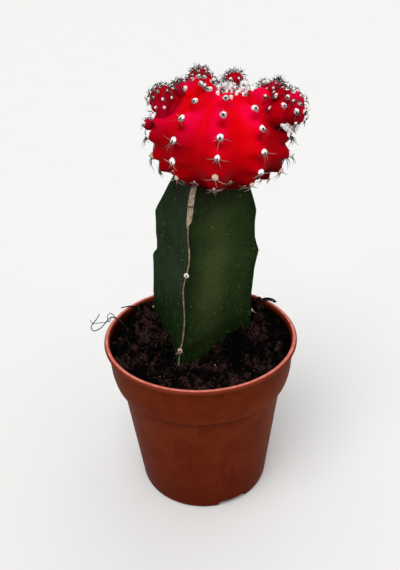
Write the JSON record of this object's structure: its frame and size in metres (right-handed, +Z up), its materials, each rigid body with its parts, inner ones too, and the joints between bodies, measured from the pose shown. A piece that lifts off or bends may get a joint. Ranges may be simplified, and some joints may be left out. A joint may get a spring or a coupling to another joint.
{
  "type": "potted moon cactus",
  "caption": "Grafted cactus in a small plastic nursery pot: a ribbed red globe with offsets and spines, on a green three-winged stock set in soil.",
  "frame": {"origin": "middle of the pot's flat underside", "axes": "+Z up along the pot's axis, -Y towards the side that the front wing of the stock faces, +X to the right seen from there"},
  "size_m": [0.0616, 0.055, 0.1224],
  "materials": {
    "pot_plastic": "semi-matte terracotta-coloured moulded plastic",
    "soil": "damp crumbly dark peat with root fibres",
    "green_stem": "waxy dark green stem skin with corky margins",
    "red_globe": "waxy red skin with cream wool and dark spines"
  },
  "bodies": {
    "root": {"pot": "pot_plastic", "soil": "soil", "rootstock": "green_stem", "scion": "red_globe"}
  },
  "joints": []
}
